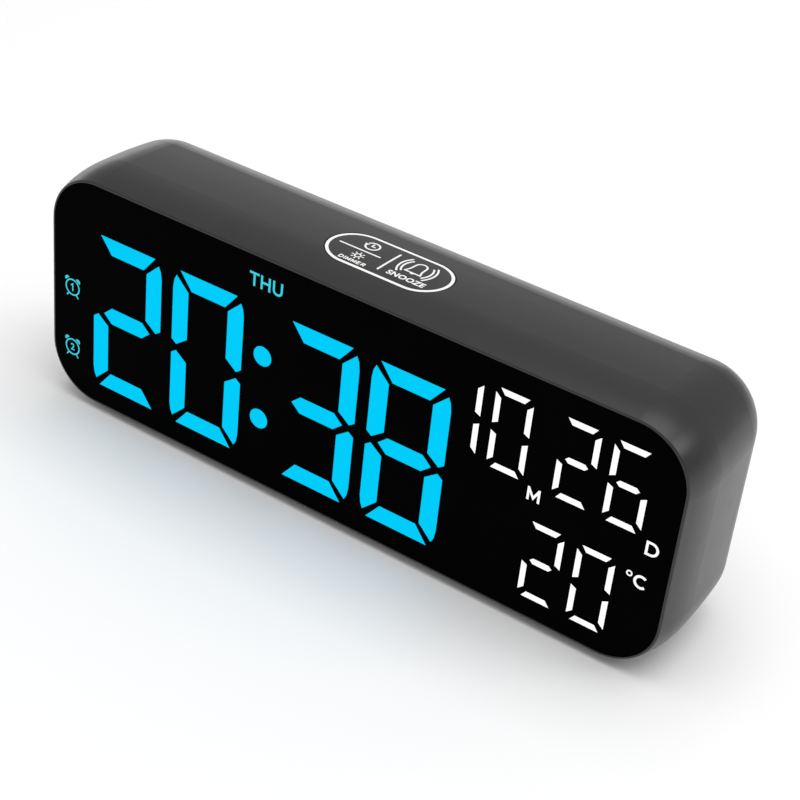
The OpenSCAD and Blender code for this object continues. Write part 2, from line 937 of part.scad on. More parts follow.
// Three-wire lead from the key board down to the main board
module key_cable() color([0.55, 0.1, 0.1]) in_case() {
    t = 1;
    r = 4;
    run_y = 15;
    low_z = 8;
    for (i = [0 : 2])
        translate([12 + i * 1.2, 0, 0]) {
            translate([0, run_y, low_z + r])
                cylinder(d = t, h = key_board_top - key_board_t - low_z - r, $fn = 24);
            translate([0, run_y + r, low_z + r])
                rotate([0, 90, 0])
                    rotate([0, 0, -90])
                        rotate_extrude(angle = 90, $fn = fine)
                            translate([r, 0])
                                circle(d = t, $fn = 24);
            translate([0, run_y + r, low_z])
                rotate([-90, 0, 0])
                    cylinder(d = t, h = main_y - main_t - run_y - r, $fn = 24);
        }
}

// ---- battery bay ----

module battery_tray() color([0.16, 0.16, 0.17]) in_case() {
    difference() {
        translate([bay_x, 0, 0])
            from_to(cover_y - bay_d - tray_t, cover_y)
                rounded_plate(bay_l + 2 * tray_t, bay_h + 2 * tray_t, 1.2);
        translate([bay_x, 0, 0])
            from_to(cover_y - bay_d, cover_y + eps)
                rounded_plate(bay_l, bay_h, 0.8);
        solder_tabs(0.05);
    }
}

// The two tabs that reach out through the tray's end wall, grown by a gap for their slots
module solder_tabs(gap) {
    for (sz = [-1, 1])
        translate([bay_x + bay_l / 2 - plate_t, main_y - main_t - gap, sz * lead_z - 1 - gap])
            cube([plate_t + tray_t + tab_l, plate_t + 2 * gap, 2 + 2 * gap]);
}

// Flat contact plates: two single ones at one end of the bay and a bridge at the other
module contact_plates() color([0.8, 0.8, 0.78]) in_case() {
    y = cover_y - bay_d + 1.5;
    plate_d = 8.5;
    plate_h = 8;
    for (sz = [-1, 1])
        translate([bay_x + bay_l / 2 - plate_t, y, sz * cell_z - plate_h / 2])
            cube([plate_t, plate_d, plate_h]);
    translate([bay_x - bay_l / 2, y, -cell_d + 1])
        cube([plate_t, plate_d, 2 * cell_d - 2]);
    solder_tabs(0);
}

// A point on the wire of a conical spring, at a step along the coil and an angle round the wire
function spring_point(step, turn) =
    let (along = step / (spring_turns * spring_steps))
    let (reach = spring_base_r + (spring_tip_r - spring_base_r) * along + spring_wire_r * cos(turn))
    let (angle = 360 * step / spring_steps)
    [reach * cos(angle), reach * sin(angle), spring_wire_r * (1 + sin(turn)) + spring_rise * along];

// A conical coil spring that stands on z = 0
module cone_spring() {
    last = spring_turns * spring_steps;
    points = [for (i = [0 : last], j = [0 : spring_sides - 1]) spring_point(i, 360 * j / spring_sides)];
    walls = [for (i = [0 : last - 1], j = [0 : spring_sides - 1])
        let (k = (j + 1) % spring_sides)
        [i * spring_sides + j, i * spring_sides + k, (i + 1) * spring_sides + k,
            (i + 1) * spring_sides + j]];
    start = [for (j = [0 : spring_sides - 1]) spring_sides - 1 - j];
    end = [for (j = [0 : spring_sides - 1]) last * spring_sides + j];
    polyhedron(points, concat(walls, [start], [end]));
}

// Coil springs that press on the flat end of each cell, one at each end of the bay
module contact_springs() color([0.8, 0.8, 0.78]) in_case() {
    for (side = [-1, 1])
        translate([bay_x + side * (bay_l / 2 - plate_t), cover_y - bay_d + 5.8, side * cell_z])
            rotate([0, -side * 90, 0])
                cone_spring();
}

// Door with finger grooves outside and two ribs inside that centre it in the bay
module battery_door() color([0.16, 0.16, 0.17]) in_case() {
    groove = [0.7, 0.8, 12];
    groove_pitch = 1.6;
    rib = [bay_l - 8, 1.4, 1.2];
    rib_z = bay_h / 2 - 0.9;
    translate([bay_x, 0, 0]) {
        difference() {
            from_to(case_d - door_t, case_d)
                rounded_plate(door_l, door_h, 1.4);
            for (i = [0 : 4])
                translate([door_l / 2 - 5 - i * groove_pitch, case_d, 0])
                    cube(groove, center = true);
        }
        for (sz = [-1, 1])
            translate([-rib[0] / 2, case_d - door_t - rib[1], sz * rib_z - rib[2] / 2])
                cube([rib[0], rib[1] + eps, rib[2]]);
    }
}

// Two leads that arch from the tray's end to the main board
module battery_leads() color([0.6, 0.08, 0.08]) in_case() {
    tab_x = bay_x + bay_l / 2 + tray_t + tab_l / 2;
    board_x = main_x - main_w / 2 + 4;
    r = (board_x - tab_x) / 2;
    for (sz = [-1, 1])
        translate([tab_x + r, main_y - main_t, sz * lead_z])
            rotate([180, 0, 0])
                rotate_extrude(angle = 180, $fn = fine)
                    translate([r, 0])
                        circle(0.6, $fn = 24);
}

housing();
front_film();
time_windows();
date_windows();
dark_windows();
lens_plate();
light_box();
led_board();
display_leds();
display_screws();
snooze_key();
key_pin();
key_board();
key_switches();
key_board_screws();
rear_cover();
cover_screws();
set_button();
alarm_button();
up_button();
down_button();
unit_button();
rear_switches();
main_board();
board_screws();
controller_chip();
capacitors();
crystal();
usb_socket();
usb_tongue();
buzzer();
temperature_sensor();
ribbon_cable();
key_cable();
battery_leads();
battery_tray();
contact_plates();
contact_springs();
battery_door();
rubber_feet();
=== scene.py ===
import json
import math

import bpy
from mathutils import Matrix, Vector, geometry
from mathutils.bvhtree import BVHTree


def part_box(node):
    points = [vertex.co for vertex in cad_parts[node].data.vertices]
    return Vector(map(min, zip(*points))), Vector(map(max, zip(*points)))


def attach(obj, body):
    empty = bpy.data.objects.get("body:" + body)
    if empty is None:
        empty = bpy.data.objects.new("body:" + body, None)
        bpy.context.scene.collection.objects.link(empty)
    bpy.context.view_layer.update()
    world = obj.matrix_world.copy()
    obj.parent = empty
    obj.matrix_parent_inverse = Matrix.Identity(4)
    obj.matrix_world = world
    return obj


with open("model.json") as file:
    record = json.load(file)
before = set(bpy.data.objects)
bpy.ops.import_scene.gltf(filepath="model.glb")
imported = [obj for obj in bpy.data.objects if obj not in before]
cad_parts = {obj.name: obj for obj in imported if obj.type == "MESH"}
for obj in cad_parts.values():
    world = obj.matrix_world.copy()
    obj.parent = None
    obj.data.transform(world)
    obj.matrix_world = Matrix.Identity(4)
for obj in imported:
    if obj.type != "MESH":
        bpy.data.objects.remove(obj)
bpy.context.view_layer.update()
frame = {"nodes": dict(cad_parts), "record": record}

MM = 0.001
NODES = frame["nodes"]

# ---- where things are, from the frame ----

film_low, film_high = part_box("front_film")
cover_low, cover_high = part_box("rear_cover")
key_low, key_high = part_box("snooze_key")
CASE_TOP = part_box("housing")[1].z
FILM_FRONT = film_low.y
DISPLAY_X = (film_low.x + film_high.x) / 2
DISPLAY_Z = (film_low.z + film_high.z) / 2
COVER_BACK = cover_high.y
COVER_Z = (cover_low.z + cover_high.z) / 2
KEY_X = (key_low.x + key_high.x) / 2
KEY_Y = (key_low.y + key_high.y) / 2

# ---- looks, in linear colour ----

CYAN = (0.0, 0.604, 0.955)
TEAL = (0.05, 0.66, 0.78)
WHITE = (1.0, 1.0, 1.0)
PRINT_WHITE = (0.86, 0.86, 0.85)
CASE_BLACK = (0.009, 0.009, 0.0095)
COVER_BLACK = (0.018, 0.018, 0.019)

# The lightest that the painted sheen on any plastic gets
BRIGHTEST = 0.92

# A noise texture's own roughness, and the range that its values mostly fill
NOISE_ROUGHNESS = 0.55
NOISE_LOW, NOISE_HIGH = 0.3, 0.7


# ---- materials ----

class Surface:
    """A Principled material whose colour, roughness and bump come from procedural nodes."""

    def __init__(self, name, colour, roughness, specular=0.5, metallic=0.0):
        self.material = bpy.data.materials.new(name)
        self.material.use_nodes = True
        self.nodes = self.material.node_tree.nodes
        self.links = self.material.node_tree.links
        self.shader = self.nodes["Principled BSDF"]
        self.shader.inputs["Base Color"].default_value = (*colour, 1)
        self.shader.inputs["Roughness"].default_value = roughness
        self.shader.inputs["Specular IOR Level"].default_value = specular
        self.shader.inputs["Metallic"].default_value = metallic
        self.colour = colour
        self.roughness = roughness
        self.place = self.nodes.new("ShaderNodeTexCoord").outputs["Object"]

    def noise(self, size_mm, detail, stretch=(1, 1, 1)):
        """Noise with features about size_mm across; a stretch above 1 draws them out that way."""
        mapping = self.nodes.new("ShaderNodeMapping")
        mapping.inputs["Scale"].default_value = [1 / s for s in stretch]
        texture = self.nodes.new("ShaderNodeTexNoise")
        texture.inputs["Scale"].default_value = 1 / (size_mm * MM)
        texture.inputs["Detail"].default_value = detail
        texture.inputs["Roughness"].default_value = NOISE_ROUGHNESS
        self.links.new(self.place, mapping.inputs["Vector"])
        self.links.new(mapping.outputs["Vector"], texture.inputs["Vector"])
        return texture.outputs["Fac"]

    def spread(self, value, low, high):
        """Maps a noise value onto the range from low to high."""
        node = self.nodes.new("ShaderNodeMapRange")
        node.inputs["From Min"].default_value = NOISE_LOW
        node.inputs["From Max"].default_value = NOISE_HIGH
        node.inputs["To Min"].default_value = low
        node.inputs["To Max"].default_value = high
        self.links.new(value, node.inputs["Value"])
        return node.outputs["Result"]

    def vary_colour(self, value, other, share=1.0):
        """Blends the colour towards another where value is high."""
        mix = self.nodes.new("ShaderNodeMix")
        mix.data_type = "RGBA"
        mix.inputs["A"].default_value = (*self.colour, 1)
        mix.inputs["B"].default_value = (*other, 1)
        self.links.new(self.spread(value, 0, share), mix.inputs["Factor"])
        self.links.new(mix.outputs["Result"], self.shader.inputs["Base Color"])

    def vary_roughness(self, value, amount):
        """Moves the roughness up and down by amount."""
        low = max(0.0, self.roughness - amount)
        high = min(1.0, self.roughness + amount)
        self.links.new(self.spread(value, low, high), self.shader.inputs["Roughness"])

    def bump(self, value, depth_mm):
        """Raises the surface by up to depth_mm where value is high."""
        node = self.nodes.new("ShaderNodeBump")
        node.inputs["Distance"].default_value = depth_mm * MM
        node.inputs["Strength"].default_value = 1.0
        self.links.new(value, node.inputs["Height"])
        self.links.new(node.outputs["Normal"], self.shader.inputs["Normal"])

    def glow(self, colour, strength):
        """Makes the surface give off light of its own."""
        self.shader.inputs["Emission Color"].default_value = (*colour, 1)
        self.shader.inputs["Emission Strength"].default_value = strength


def moulded(name, colour, roughness, grain_mm, grain_depth_mm, gloss_spread=0.03):
    """Moulded plastic: fine spark-eroded grain, a faint cloudy sheen painted into the colour as
    lighter clouds, and uneven gloss.
    """
    cloud_mm, patch_mm = 14, 5
    surface = Surface(name, colour, roughness)
    # painted sheen: the colour turns lighter in soft clouds about cloud_mm across
    painted_sheen = [min(c * 1.25 + 0.001, BRIGHTEST) for c in colour]
    surface.vary_colour(surface.noise(cloud_mm, detail=4), painted_sheen, share=0.6)
    surface.vary_roughness(surface.noise(patch_mm, detail=3), gloss_spread)
    surface.bump(surface.noise(grain_mm, detail=2), grain_depth_mm)
    return surface.material


def metal(name, colour, roughness, along=(1, 1, 1)):
    """Plated or drawn metal with fine lines and small dull patches."""
    dull_mm, patch_mm, line_mm = 1.5, 0.5, 0.12
    surface = Surface(name, colour, roughness, metallic=1.0)
    surface.vary_colour(surface.noise(dull_mm, detail=4), [c * 0.8 for c in colour], share=0.7)
    surface.vary_roughness(surface.noise(patch_mm, detail=3, stretch=along), amount=0.06)
    surface.bump(surface.noise(line_mm, detail=2, stretch=along), depth_mm=0.0012)
    return surface.material


def lit(name, colour, strength, cloud_mm=6):
    """A window lit from behind: even light with a faint cloudiness, in a dull dark film."""
    unlit = [c * 0.004 for c in colour]
    cloudy = [c * 0.012 for c in colour]
    surface = Surface(name, unlit, roughness=0.6, specular=0.005)
    surface.glow(colour, strength)
    surface.vary_colour(surface.noise(cloud_mm, detail=2), cloudy)
    surface.vary_roughness(surface.noise(cloud_mm / 2, detail=3), amount=0.08)
    return surface.material


def printed(name, colour):
    """Screen-printed ink: slightly grainy, a little lighter and darker in patches."""
    patch_mm, speck_mm = 0.4, 0.08
    surface = Surface(name, colour, roughness=0.5, specular=0.4)
    surface.vary_colour(surface.noise(patch_mm, detail=3), [c * 0.9 for c in colour], share=0.6)
    surface.bump(surface.noise(speck_mm, detail=2), depth_mm=0.004)
    return surface.material


def case_plastic():
    """The case's satin black: a very fine grain that only shows close up."""
    return moulded("case_plastic", CASE_BLACK, roughness=0.31, grain_mm=0.16, grain_depth_mm=0.0028,
                   gloss_spread=0.014)


def display_film():
    """Deep black film, with gloss that is uneven where it has been wiped."""
    wipe_mm, cloud_mm = 18, 30
    surface = Surface("display_film", (0.0005, 0.0005, 0.0006), roughness=0.2, specular=0.005)
    surface.vary_roughness(surface.noise(wipe_mm, detail=4, stretch=(2, 1, 1)), amount=0.05)
    surface.vary_colour(surface.noise(cloud_mm, detail=3), (0.0009, 0.0009, 0.0011))
    return surface.material


def dark_window():
    """A segment that is off: its window is hardly lighter than the film."""
    patch_mm = 4
    surface = Surface("dark_window", (0.0006, 0.0006, 0.0007), roughness=0.24, specular=0.005)
    surface.vary_roughness(surface.noise(patch_mm, detail=2), amount=0.03)
    return surface.material


def circuit_board():
    """Green solder mask with fine traces that show as slightly raised lines."""
    trace_mm = 1.2
    surface = Surface("circuit_board", (0.008, 0.07, 0.028), roughness=0.32)
    traces = surface.noise(trace_mm, detail=1, stretch=(6, 1, 1))
    surface.vary_colour(traces, (0.02, 0.14, 0.06), share=0.8)
    surface.bump(traces, depth_mm=0.03)
    return surface.material


def clear_acrylic():
    """The clear plate behind the film."""
    patch_mm = 8
    surface = Surface("lens_acrylic", (0.8, 0.86, 0.88), roughness=0.05)
    surface.shader.inputs["Transmission Weight"].default_value = 0.9
    surface.shader.inputs["IOR"].default_value = 1.49
    surface.vary_roughness(surface.noise(patch_mm, detail=3), amount=0.03)
    return surface.material


def sleeve(name, colour, roughness=0.4):
    """Soft wire insulation or shrink sleeve."""
    patch_mm, dent_mm = 2, 0.5
    surface = Surface(name, colour, roughness)
    surface.vary_colour(surface.noise(patch_mm, detail=3), [c * 0.75 for c in colour], share=0.6)
    surface.bump(surface.noise(dent_mm, detail=2), depth_mm=0.01)
    return surface.material


def rubber():
    """Dull rubber with a little dust on it."""
    dust_mm, pore_mm = 1.5, 0.3
    surface = Surface("foot_rubber", (0.016, 0.016, 0.017), roughness=0.75, specular=0.3)
    surface.vary_colour(surface.noise(dust_mm, detail=4), (0.03, 0.03, 0.03), share=0.5)
    surface.bump(surface.noise(pore_mm, detail=3), depth_mm=0.02)
    return surface.material


# One material for each of the record's slots. After the colour, moulded takes roughness, grain size
# and grain depth, metal roughness and the way its lines run, sleeve roughness, and lit strength.
SLOT_MATERIALS = {
    "case_plastic": case_plastic(),
    "display_film": display_film(),
    "time_light": lit("time_light", CYAN, 1.0),
    "date_light": lit("date_light", WHITE, 1.05),
    "dark_window": dark_window(),
    "lens_acrylic": clear_acrylic(),
    "light_box_plastic": moulded("light_box_plastic", (0.82, 0.82, 0.8), 0.5, 0.3, 0.01),
    "circuit_board": circuit_board(),
    "led_chips": moulded("led_chips", (0.85, 0.78, 0.4), 0.25, 0.3, 0.004),
    "screw_steel": metal("screw_steel", (0.6, 0.6, 0.61), 0.32),
    "black_screw": moulded("black_screw", (0.02, 0.02, 0.02), 0.35, 0.2, 0.01),
    "cover_plastic": moulded("cover_plastic", COVER_BLACK, 0.52, 0.22, 0.014),
    "button_plastic": moulded("button_plastic", (0.03, 0.03, 0.031), 0.42, 0.18, 0.006),
    "switch_plastic": moulded("switch_plastic", (0.014, 0.014, 0.014), 0.35, 0.3, 0.004),
    "chip_plastic": moulded("chip_plastic", (0.012, 0.012, 0.013), 0.5, 0.15, 0.01),
    "capacitor_can": sleeve("capacitor_can", (0.05, 0.07, 0.16), 0.3),
    "crystal_can": metal("crystal_can", (0.68, 0.68, 0.69), 0.28, (8, 1, 1)),
    "socket_steel": metal("socket_steel", (0.58, 0.58, 0.6), 0.3, (1, 8, 1)),
    "buzzer_plastic": moulded("buzzer_plastic", (0.014, 0.014, 0.014), 0.45, 0.3, 0.01),
    "ribbon_plastic": sleeve("ribbon_plastic", (0.62, 0.62, 0.6), 0.45),
    "lead_plastic": sleeve("lead_plastic", (0.4, 0.02, 0.02)),
    "contact_nickel": metal("contact_nickel", (0.7, 0.68, 0.63), 0.25),
    "foot_rubber": rubber(),
}
PRINT = printed("print_white", PRINT_WHITE)
# painted highlight: the raised bay marks are coloured 1.6 times lighter than the cover plastic they
# are moulded in
BAY_MARK_PAINTED_HIGHLIGHT = moulded("bay_mark_painted_highlight", [c * 1.6 for c in COVER_BLACK], 0.42, 0.22, 0.006)
LEGEND_TEAL = lit("legend_teal", TEAL, 0.95, cloud_mm=3)
LEGEND_WHITE = lit("legend_white", WHITE, 1.0, cloud_mm=3)

for row in frame["record"]["subparts"]:
    node_mesh = NODES[row["node"]].data
    node_mesh.materials.clear()
    node_mesh.materials.append(SLOT_MATERIALS[row["material_slot"]])


# ---- drawing thin solids: prints, lit legends and raised marks ----

def arc(centre, radius, start, end, steps=24):
    """Points along an arc; angles in degrees, counter-clockwise from +u."""
    turns = [math.radians(start + (end - start) * i / steps) for i in range(steps + 1)]
    return [(centre[0] + radius * math.cos(t), centre[1] + radius * math.sin(t)) for t in turns]


def circle(centre, radius, steps=48):
    """Points round a circle, without the first one again at the end."""
    return arc(centre, radius, 0, 360, steps)[:-1]


def in_steps(first, step, count):
    """Evenly spaced values: a line of many points follows a curved surface."""
    return [first + i * step for i in range(count)]


# How far a print stands out of its surface and reaches into it, in millimetres
PRINT_RISE = 0.03
PRINT_SINK = 0.01
# How far the marks in the battery bay stand out
BAY_MARK_HEIGHT = 0.25

# Bold capitals as pen lines: each letter's width next to a height of 2, then lines from its middle
PEN_LETTERS = {
    "C": (1.9, [arc((0.1, 0), 1.0, 48, 312, 24)]),
    "D": (1.7, [[(-0.85, -1)] + arc((-0.15, 0), 1.0, -90, 90, 16) + [(-0.85, 1)]]),
    "E": (1.3, [[(0.65, -1), (-0.65, -1), (-0.65, 1), (0.65, 1)], [(-0.65, 0), (0.5, 0)]]),
    "I": (0.0, [[(0, -1.15), (0, 1.15)]]),
    "M": (1.8, [[(-0.87, -1.15), (-0.87, 1.1)], [(-0.87, 0.95), (0, -0.6), (0.87, 0.95)],
                [(0.87, 1.1), (0.87, -1.15)]]),
    "R": (1.4, [[(-0.7, -1.15), (-0.7, 1)] + arc((0.1, 0.45), 0.55, 90, -90, 8) + [(-0.7, -0.1)],
                [(0.1, -0.1), (0.75, -1.1)]]),
}


class Drawing:
    """Collects flat shapes, in millimetres, and turns them into one mesh of thin closed solids."""

    def __init__(self):
        self.points = []
        self.faces = []

    def _wall(self, loop):
        """Closes the side round a loop of point pairs."""
        count = len(loop)
        for i in range(count):
            a, b = loop[i], loop[(i + 1) % count]
            self.faces.append((a[0], b[0], b[1], a[1]))

    def _point(self, u, v):
        """Adds the lower and upper copy of a point and gives their numbers."""
        first = len(self.points)
        self.points += [(u, v, -PRINT_SINK), (u, v, PRINT_RISE)]
        return first, first + 1

    def polygon(self, outline):
        """A filled outline, given counter-clockwise."""
        pairs = [self._point(*p) for p in outline]
        flat = [Vector((*p, 0)) for p in outline]
        for a, b, c in geometry.tessellate_polygon([flat]):
            pa, pb, pc = flat[a], flat[b], flat[c]
            if (pb - pa).cross(pc - pa).z < 0:
                b, c = c, b
            self.faces.append((pairs[a][1], pairs[b][1], pairs[c][1]))
            self.faces.append((pairs[c][0], pairs[b][0], pairs[a][0]))
        self._wall(pairs)

    def strip(self, left, right, closed=False):
        """The band between two lines of points; left is on the left hand going along it."""
        lefts = [self._point(*p) for p in left]
        rights = [self._point(*p) for p in right]
        count = len(lefts)
        for i in range(count if closed else count - 1):
            j = (i + 1) % count
            self.faces.append((rights[i][1], rights[j][1], lefts[j][1], lefts[i][1]))
            self.faces.append((lefts[i][0], lefts[j][0], rights[j][0], rights[i][0]))
            self.faces.append((lefts[i][1], lefts[j][1], lefts[j][0], lefts[i][0]))
            self.faces.append((rights[j][1], rights[i][1], rights[i][0], rights[j][0]))
        if not closed:
            start, end = (rights[0], lefts[0]), (lefts[-1], rights[-1])
            for a, b in (start, end):
                self.faces.append((a[1], b[1], b[0], a[0]))

    def stroke(self, line, width, closed=False, round_ends=True):
        """A pen stroke of the given width along a line of points."""
        line = [Vector(p) for p in line]
        count = len(line)
        sharpest = 0.5  # the point of a corner sharper than this cosine is cut short
        left, right = [], []
        for i, p in enumerate(line):
            before = line[i - 1] if i or closed else p
            after = line[(i + 1) % count] if i < count - 1 or closed else p
            way_in = (p - before).normalized() if p != before else (after - p).normalized()
            way_out = (after - p).normalized() if after != p else way_in
            mid = (way_in + way_out).normalized()
            side = Vector((-mid.y, mid.x))
            reach = width / 2 / max(sharpest, mid.dot(way_in))
            left.append(p + side * reach)
            right.append(p - side * reach)
        if round_ends and not closed:
            first_out = (line[0] - line[1]).normalized()
            last_out = (line[-1] - line[-2]).normalized()
            self._round(left, right, line[0], first_out, width / 2, at_start=True)
            self._round(left, right, line[-1], last_out, width / 2, at_start=False)
        self.strip(left, right, closed)

    @staticmethod
    def _round(left, right, tip, out, radius, at_start):
        """Adds the points of a round end; out is the way it faces."""
        side = Vector((-out.y, out.x))
        if at_start:
            side = -side
        round_angles = (30, 60, 80)  # from the stroke's side towards its tip
        for angle in round_angles:
            a = math.radians(angle)
            along = tip + out * radius * math.sin(a)
            across = side * radius * math.cos(a)
            if at_start:
                left.insert(0, along + across)
                right.insert(0, along - across)
            else:
                left.append(along + across)
                right.append(along - across)

    def bold_text(self, words, centre, unit, width, gap=1.0):
        """Bold capitals drawn with a pen; unit is half a letter's height, gap the room between two.

        The gap, like the letters' widths, is in units."""
        whole = sum(PEN_LETTERS[letter][0] for letter in words) + gap * (len(words) - 1)
        left = -whole / 2
        for letter in words:
            advance, lines = PEN_LETTERS[letter]
            middle = left + advance / 2
            for line in lines:
                placed = [(centre[0] + (middle + u) * unit, centre[1] + v * unit) for u, v in line]
                self.stroke(placed, width, closed=letter == "D", round_ends=False)
            left += advance + gap

    def text(self, words, centre, height, weight=0.0, spread=1.0, width=None):
        """Plain lettering; height and the optional width are its overall size in millimetres.

        Weight thickens the strokes, and spread widens the room between letters."""
        curve = bpy.data.curves.new("lettering", "FONT")
        curve.body = words
        curve.size = 1.0
        curve.offset = weight
        curve.space_character = spread
        curve.resolution_u = 4
        holder = bpy.data.objects.new("lettering", curve)
        bpy.context.scene.collection.objects.link(holder)
        depsgraph = bpy.context.evaluated_depsgraph_get()
        mesh = bpy.data.meshes.new_from_object(holder.evaluated_get(depsgraph))
        corners = [v.co.copy() for v in mesh.vertices]
        low_x, high_x = min(c.x for c in corners), max(c.x for c in corners)
        low_y, high_y = min(c.y for c in corners), max(c.y for c in corners)
        scale_v = height / (high_y - low_y)
        scale_u = width / (high_x - low_x) if width else scale_v
        flat = [((c.x - (low_x + high_x) / 2) * scale_u + centre[0],
                 (c.y - (low_y + high_y) / 2) * scale_v + centre[1]) for c in corners]
        pairs = [self._point(*p) for p in flat]
        edges = {}
        for face in mesh.polygons:
            ring = list(face.vertices)
            if face.normal.z < 0:
                ring.reverse()
            self.faces.append(tuple(pairs[i][1] for i in ring))
            self.faces.append(tuple(pairs[i][0] for i in reversed(ring)))
            for a, b in zip(ring, ring[1:] + ring[:1]):
                edges[(a, b)] = True
        for a, b in edges:
            if (b, a) not in edges:  # it has a face on one side only, so it is on the outline
                self.faces.append((pairs[b][1], pairs[a][1], pairs[a][0], pairs[b][0]))
        bpy.data.objects.remove(holder)
        bpy.data.meshes.remove(mesh)
        bpy.data.curves.remove(curve)

    def piece(self, name, place, material, body, slot):
        """Makes the mesh; place turns (u, v, rise) in millimetres into a point in the row frame."""
        mesh = bpy.data.meshes.new(name)
        mesh.from_pydata([place(*p) for p in self.points], [], self.faces)
        mesh.validate()
        mesh.materials.append(material)
        piece = bpy.data.objects.new(name, mesh)
        bpy.context.scene.collection.objects.link(piece)
        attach(piece, body)


# Each of these turns millimetres along a surface and out of it into a point in the row frame

def on_front(u, v, rise):
    """u and v from the middle of the display."""
    return (DISPLAY_X + u * MM, FILM_FRONT - rise * MM, DISPLAY_Z + v * MM)


def on_back(u, v, rise):
    """u from the middle, to the right of someone looking at the back; v from the cover's middle."""
    return (-u * MM, COVER_BACK + rise * MM, COVER_Z + v * MM)


RAY_START = 0.01  # how far outside the object a ray towards a surface starts
key_surface = BVHTree.FromObject(NODES["snooze_key"], bpy.context.evaluated_depsgraph_get())


def on_key(u, v, rise):
    """u and v from the middle of the rocker key; the height follows its top."""
    x, y = KEY_X + u * MM, KEY_Y + v * MM
    hit = key_surface.ray_cast(Vector((x, y, CASE_TOP + RAY_START)), Vector((0, 0, -1)))[0]
    return (x, y, hit.z + rise * MM)


# ---- lit legends on the display ----

def alarm_icon(drawing, centre, number):
    """A small alarm clock: ring, two bells, two feet and the alarm's number."""
    u, v = centre
    pen, ring_radius, bell_radius, bell_lean = 0.36, 1.98, 0.72, 40
    drawing.stroke(circle(centre, ring_radius), pen, closed=True)
    for side in (-1, 1):
        tilt = 90 - side * bell_lean
        bell_centre = (u + side * 1.55, v + 1.85)
        drawing.polygon(arc(bell_centre, bell_radius, tilt - 90, tilt + 90, 12))
        foot = [(u + side * 1.25, v - 1.95), (u + side * 1.65, v - 2.4)]
        drawing.stroke(foot, pen)
    if number == 1:
        drawing.stroke([(u - 0.4, v + 0.5), (u + 0.05, v + 0.85), (u + 0.05, v - 0.85)], pen)
    else:
        drawing.text(str(number), centre, height=1.75, weight=0.02)


def display_legends():
    """The day and the two alarm signs in teal, and the letters beside the digits in white."""
    teal = Drawing()
    alarm_icon(teal, (-75.0, -0.3), 1)
    alarm_icon(teal, (-75.0, -16.3), 2)
    teal.text("THU", (-20.4, 22.4), height=3.35, weight=0.012, spread=1.06, width=8.8)
    teal.piece("day_and_alarm_legends", on_front, LEGEND_TEAL, "case", "time_light")
    white = Drawing()
    white.bold_text("M", (48.8, 1.7), unit=1.42, width=0.54)
    white.bold_text("D", (75.85, 1.75), unit=1.4, width=0.56)
    white.bold_text("C", (74.75, -6.8), unit=1.36, width=0.58)
    degree_sign = circle((72.15, -5.85), 0.55, 32)
    white.stroke(degree_sign, width=0.32, closed=True)
    white.piece("date_legends", on_front, LEGEND_WHITE, "case", "date_light")


# ---- print on the rocker key ----

def key_print():
    """A white ring, a divider, a clock with a turning arrow over a sun, and a ringing bell."""
    ink = Drawing()
    ring_l, ring_w, ring_pen = 29.4, 13.35, 0.7
    straight = (ring_l - ring_w) / 2
    right = arc((straight, 0), ring_w / 2, -90, 90, 40)
    left = arc((-straight, 0), ring_w / 2, 90, 270, 40)
    ink.stroke(right + left, ring_pen, closed=True)
    divider_u = -0.05
    ink.stroke([(divider_u, v) for v in in_steps(first=-4.3, step=0.95, count=10)], width=0.46)
    ink.stroke([(u, 0) for u in in_steps(first=-12.7, step=1.02, count=11)], width=0.44)
    clock_icon(ink, (-6.4, 3.0))
    sun_icon(ink, (-6.35, -2.55))
    ink.bold_text("DIMMER", (-6.05, -5.05), unit=0.5, width=0.26, gap=0.95)
    bell_icon(ink, (6.2, 1.75))
    ink.text("SNOOZE", (6.6, -3.6), height=1.8, weight=0.032, spread=1.05, width=9.25)
    ink.piece("key_print", on_key, PRINT, "rocker", "case_plastic")


def clock_icon(ink, centre):
    """A clock face whose ring ends in an arrowhead at the left."""
    u, v = centre
    ring_radius, ring_pen, hand_pen = 1.6, 0.42, 0.36
    ink.stroke(arc(centre, ring_radius, 150, -165, 36), ring_pen)
    arrowhead = [(u - 2.15, v + 0.45), (u - 1.6, v - 0.5), (u - 1.0, v + 0.35)]
    ink.polygon(arrowhead)
    ink.stroke([(u - 0.15, v + 0.9), (u - 0.15, v - 0.1), (u + 0.65, v - 0.1)], hand_pen)


def sun_icon(ink, centre):
    """A small ring with eight short rays."""
    radius, ray_start, ray_end, rays = 0.68, 1.13, 1.42, 8
    ink.stroke(circle(centre, radius, 32), width=0.32, closed=True)
    for i in range(rays):
        turn = math.radians(360 / rays * i)
        way = Vector((math.cos(turn), math.sin(turn)))
        ink.stroke([Vector(centre) + way * ray_start, Vector(centre) + way * ray_end], width=0.3)


def bell_icon(ink, centre):
    """A bell in outline with two sound arcs on each side."""
    u, v = centre
    base, waist, half_base, half_waist = v - 2.35, v - 1.0, 1.9, 1.45
    dome = arc((u, v + 1.05), 1.3, 175, 5, 16)
    left_side = [(u - half_base, base), (u - half_waist, waist)]
    right_side = [(u + half_waist, waist), (u + half_base, base)]
    ink.stroke(left_side + dome + right_side, width=0.4, closed=True)
    clapper = arc((u, base), 0.42, 200, 340, 8)
    ink.stroke(clapper, width=0.36)
    # each sound arc: how far out its middle is, half its length, and how deeply it curves
    for bulge, half_chord, sagitta in ((3.3, 2.5, 0.75), (4.2, 3.2, 1.0)):
        radius = (half_chord ** 2 + sagitta ** 2) / (2 * sagitta)
        spread = math.degrees(math.asin(half_chord / radius))
        for side, turn in ((1, 0), (-1, 180)):
            middle = (u + side * (bulge - radius), v - 0.45)
            ink.stroke(arc(middle, radius, turn - spread, turn + spread, 18), width=0.42)


# ---- print on the back cover ----

def middle_u(node):
    """Where a node's middle is across the back, in millimetres."""
    low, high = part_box(node)
    return -(low.x + high.x) / 2 / MM


